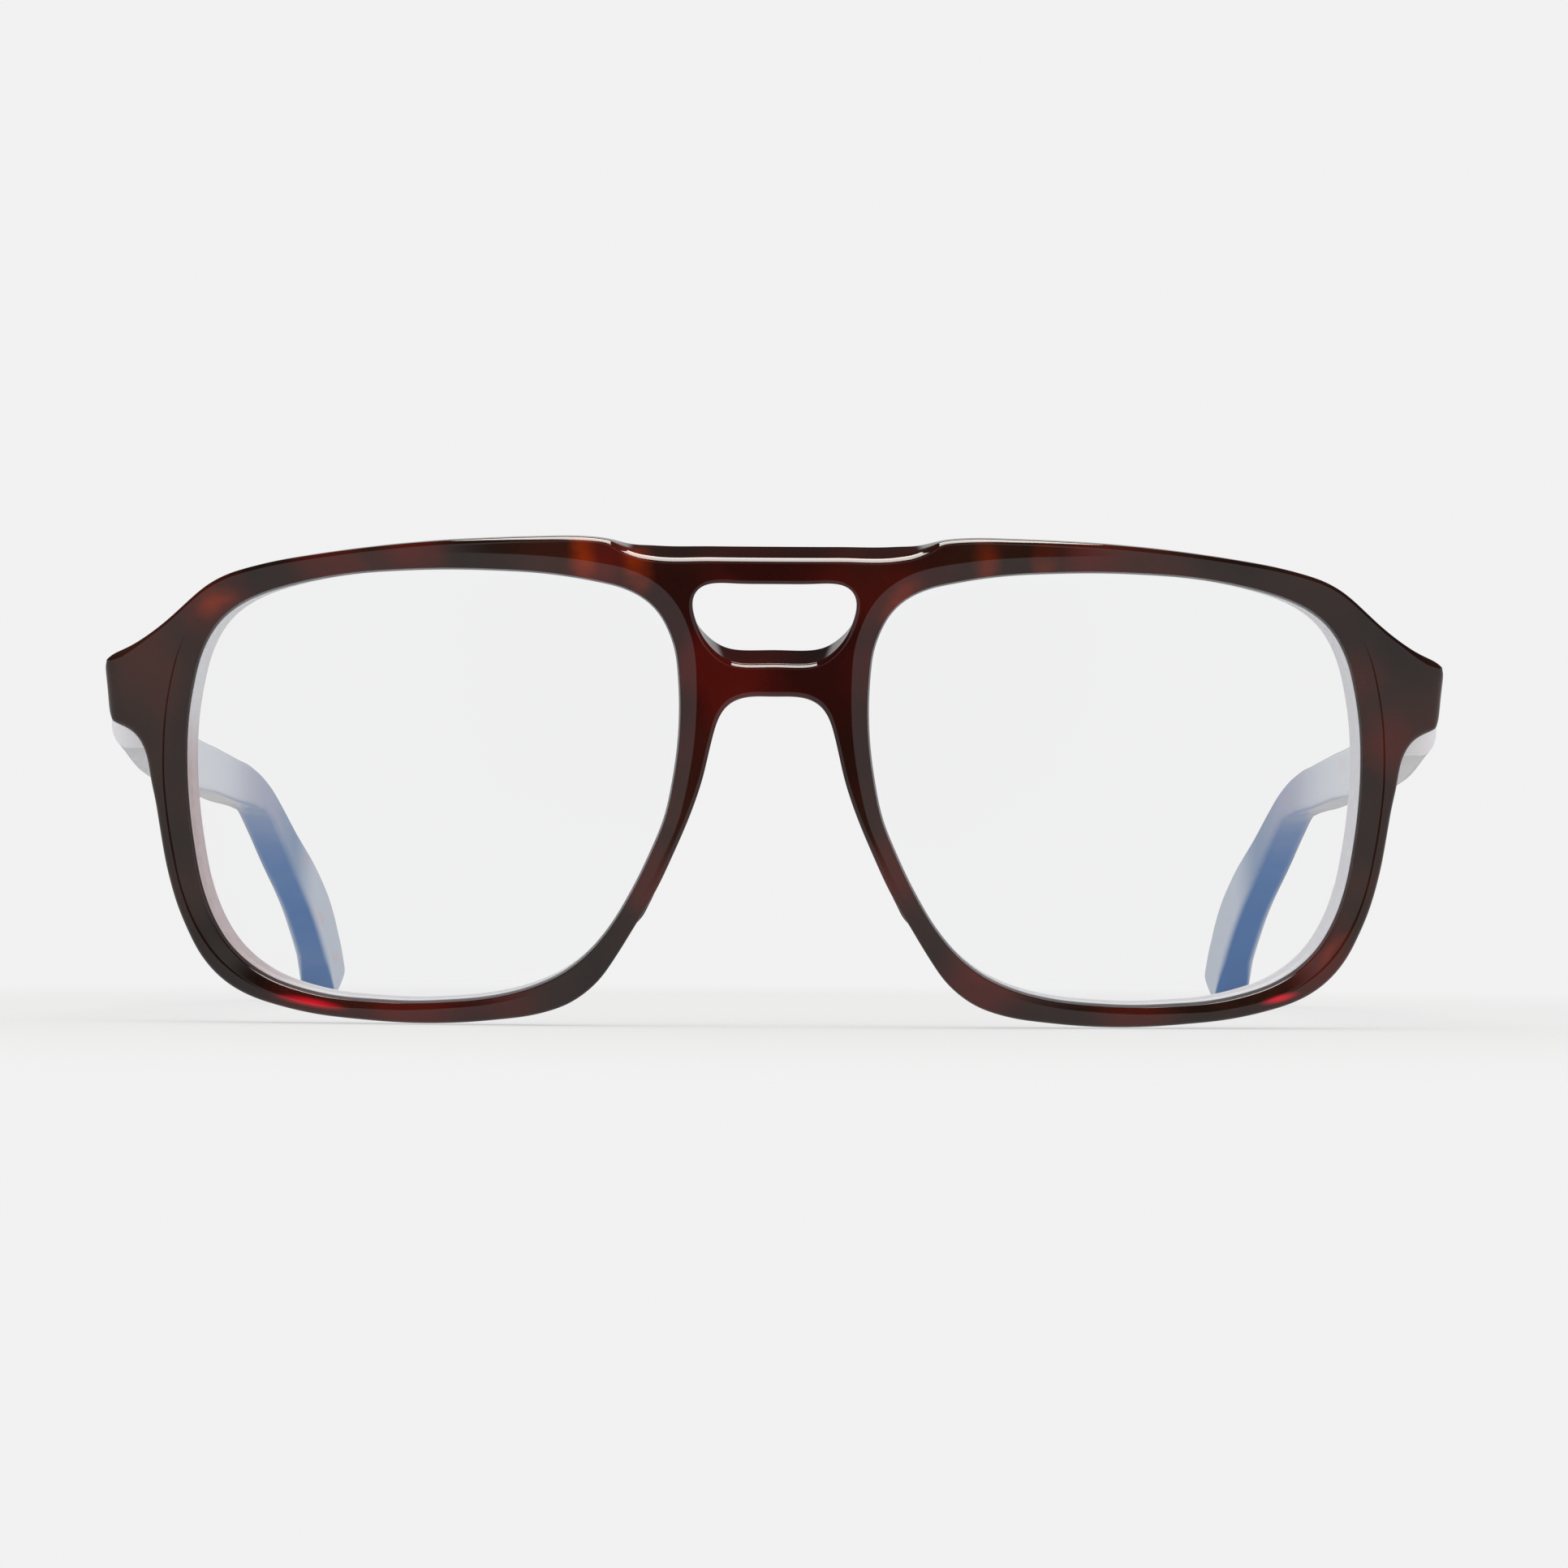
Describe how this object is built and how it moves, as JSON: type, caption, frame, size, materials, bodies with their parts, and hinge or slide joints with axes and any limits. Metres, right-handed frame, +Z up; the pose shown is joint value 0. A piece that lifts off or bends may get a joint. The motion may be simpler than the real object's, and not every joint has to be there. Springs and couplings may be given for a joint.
{
  "type": "double bridge glasses",
  "caption": "Bowed acetate eyeglass frame with a top bar and a lower bridge bar, clear lenses and folding laminated temples.",
  "frame": {"origin": "middle of the open glasses on the table that they stand on, at the bottom of the rims and temple tips", "axes": "+X to the wearer's left along the front, +Y back towards the temple tips, +Z up; the front faces -Y"},
  "size_m": [0.152, 0.1412, 0.0551],
  "materials": {
    "tortoise_acetate": "polished dark tortoiseshell acetate",
    "crystal_acetate": "polished pale crystal acetate with faint amber flecks",
    "pad_acetate": "polished dark tortoiseshell acetate",
    "ice_acetate": "polished milky pale blue acetate",
    "lens": "clear, coated",
    "hinge_steel": "satin",
    "screw_steel": "satin",
    "core_steel": "satin"
  },
  "bodies": {
    "front_assembly": {"front": "tortoise_acetate", "lens_left": "lens", "lens_right": "lens", "nose_pad_left": "pad_acetate", "nose_pad_right": "pad_acetate", "front_hinge_left": "hinge_steel", "front_hinge_right": "hinge_steel", "hinge_screw_left": "screw_steel", "hinge_screw_right": "screw_steel"},
    "left_temple": {"temple_left": "crystal_acetate", "temple_lining_left": "ice_acetate", "temple_core_left": "core_steel", "temple_hinge_left": "hinge_steel"},
    "right_temple": {"temple_right": "crystal_acetate", "temple_lining_right": "ice_acetate", "temple_core_right": "core_steel", "temple_hinge_right": "hinge_steel"}
  },
  "joints": [
    {"name": "fold_left", "type": "hinge", "parent": "front_assembly", "child": "left_temple", "pos_m": [0.06915, -0.0543, 0.03595], "axis": [0, -0.119, 0.9929], "range_deg": [0, 90]},
    {"name": "fold_right", "type": "hinge", "parent": "front_assembly", "child": "right_temple", "pos_m": [-0.06915, -0.0543, 0.03595], "axis": [0, 0.119, -0.9929], "range_deg": [0, 84.5]}
  ]
}
